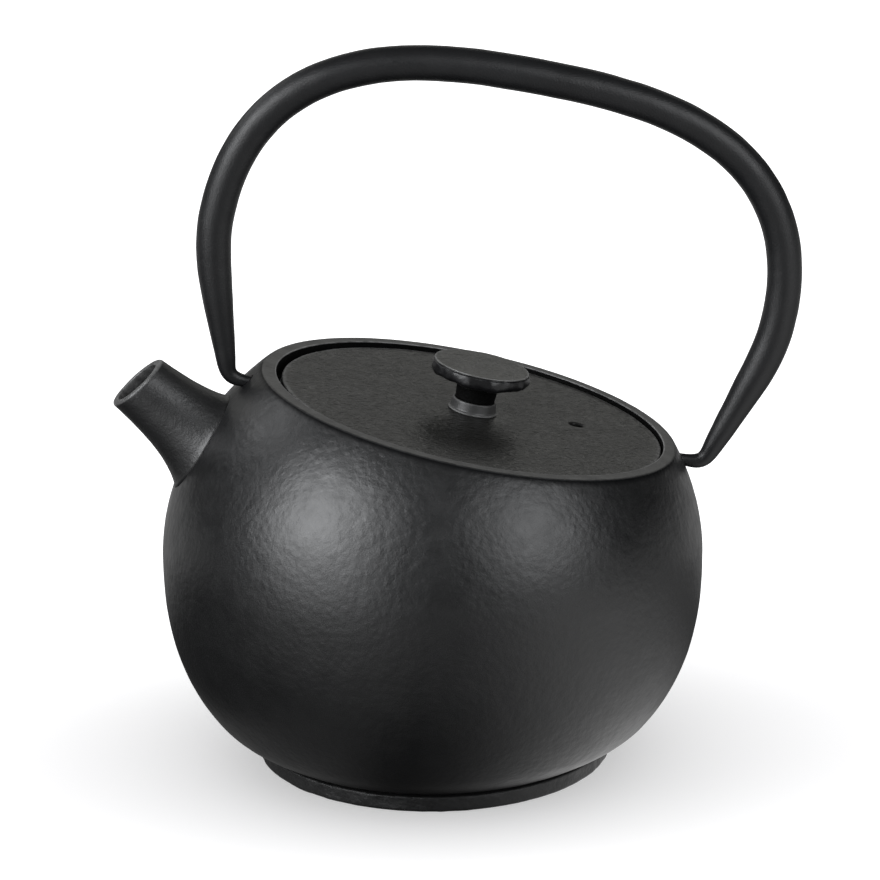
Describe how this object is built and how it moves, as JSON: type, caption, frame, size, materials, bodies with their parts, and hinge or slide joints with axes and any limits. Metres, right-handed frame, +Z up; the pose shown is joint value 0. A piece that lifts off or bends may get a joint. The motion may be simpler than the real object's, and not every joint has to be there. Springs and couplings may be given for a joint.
{
  "type": "teapot",
  "caption": "Round black cast-iron teapot with a slanted flush lid, disc knob, short flared spout, swinging bail handle and lift-out steel infuser.",
  "frame": {"origin": "middle of the whole object's own bounding box, on the ground under the foot", "axes": "+X away from the spout, towards the low side of the slanted rim; +Z up; +Y to the back when the spout is on the left"},
  "size_m": [0.1896, 0.15, 0.2007],
  "materials": {
    "pot_iron": "satin black enamel over a fine hammered casting",
    "lid_iron": "matt black enamel over a sandy casting",
    "handle_iron": "satin black, smooth with a fine grain",
    "collar": "smooth dark grey paint",
    "steel": "brushed stainless steel"
  },
  "bodies": {
    "pot": {"pot_body": "pot_iron", "spout": "pot_iron"},
    "bail": {"handle": "handle_iron"},
    "infuser": {"infuser_rim": "steel", "infuser_wall": "steel", "infuser_base": "steel"},
    "lid": {"lid_plate": "lid_iron", "lid_knob": "lid_iron", "knob_collar": "collar", "knob_washer": "steel", "knob_screw": "steel"}
  },
  "joints": [
    {"name": "handle_swing", "type": "hinge", "parent": "pot", "child": "bail", "pos_m": [0.00257, 0, 0.0954], "axis": [0.9781, 0, -0.2079], "range_deg": [-110, 110]},
    {"name": "infuser_lift", "type": "slide", "parent": "pot", "child": "infuser", "axis": [0.2079, 0, 0.9781], "range_m": [0, 0.052]},
    {"name": "lid_lift", "type": "slide", "parent": "infuser", "child": "lid", "axis": [0.2079, 0, 0.9781], "range_m": [0, 0.022]}
  ]
}
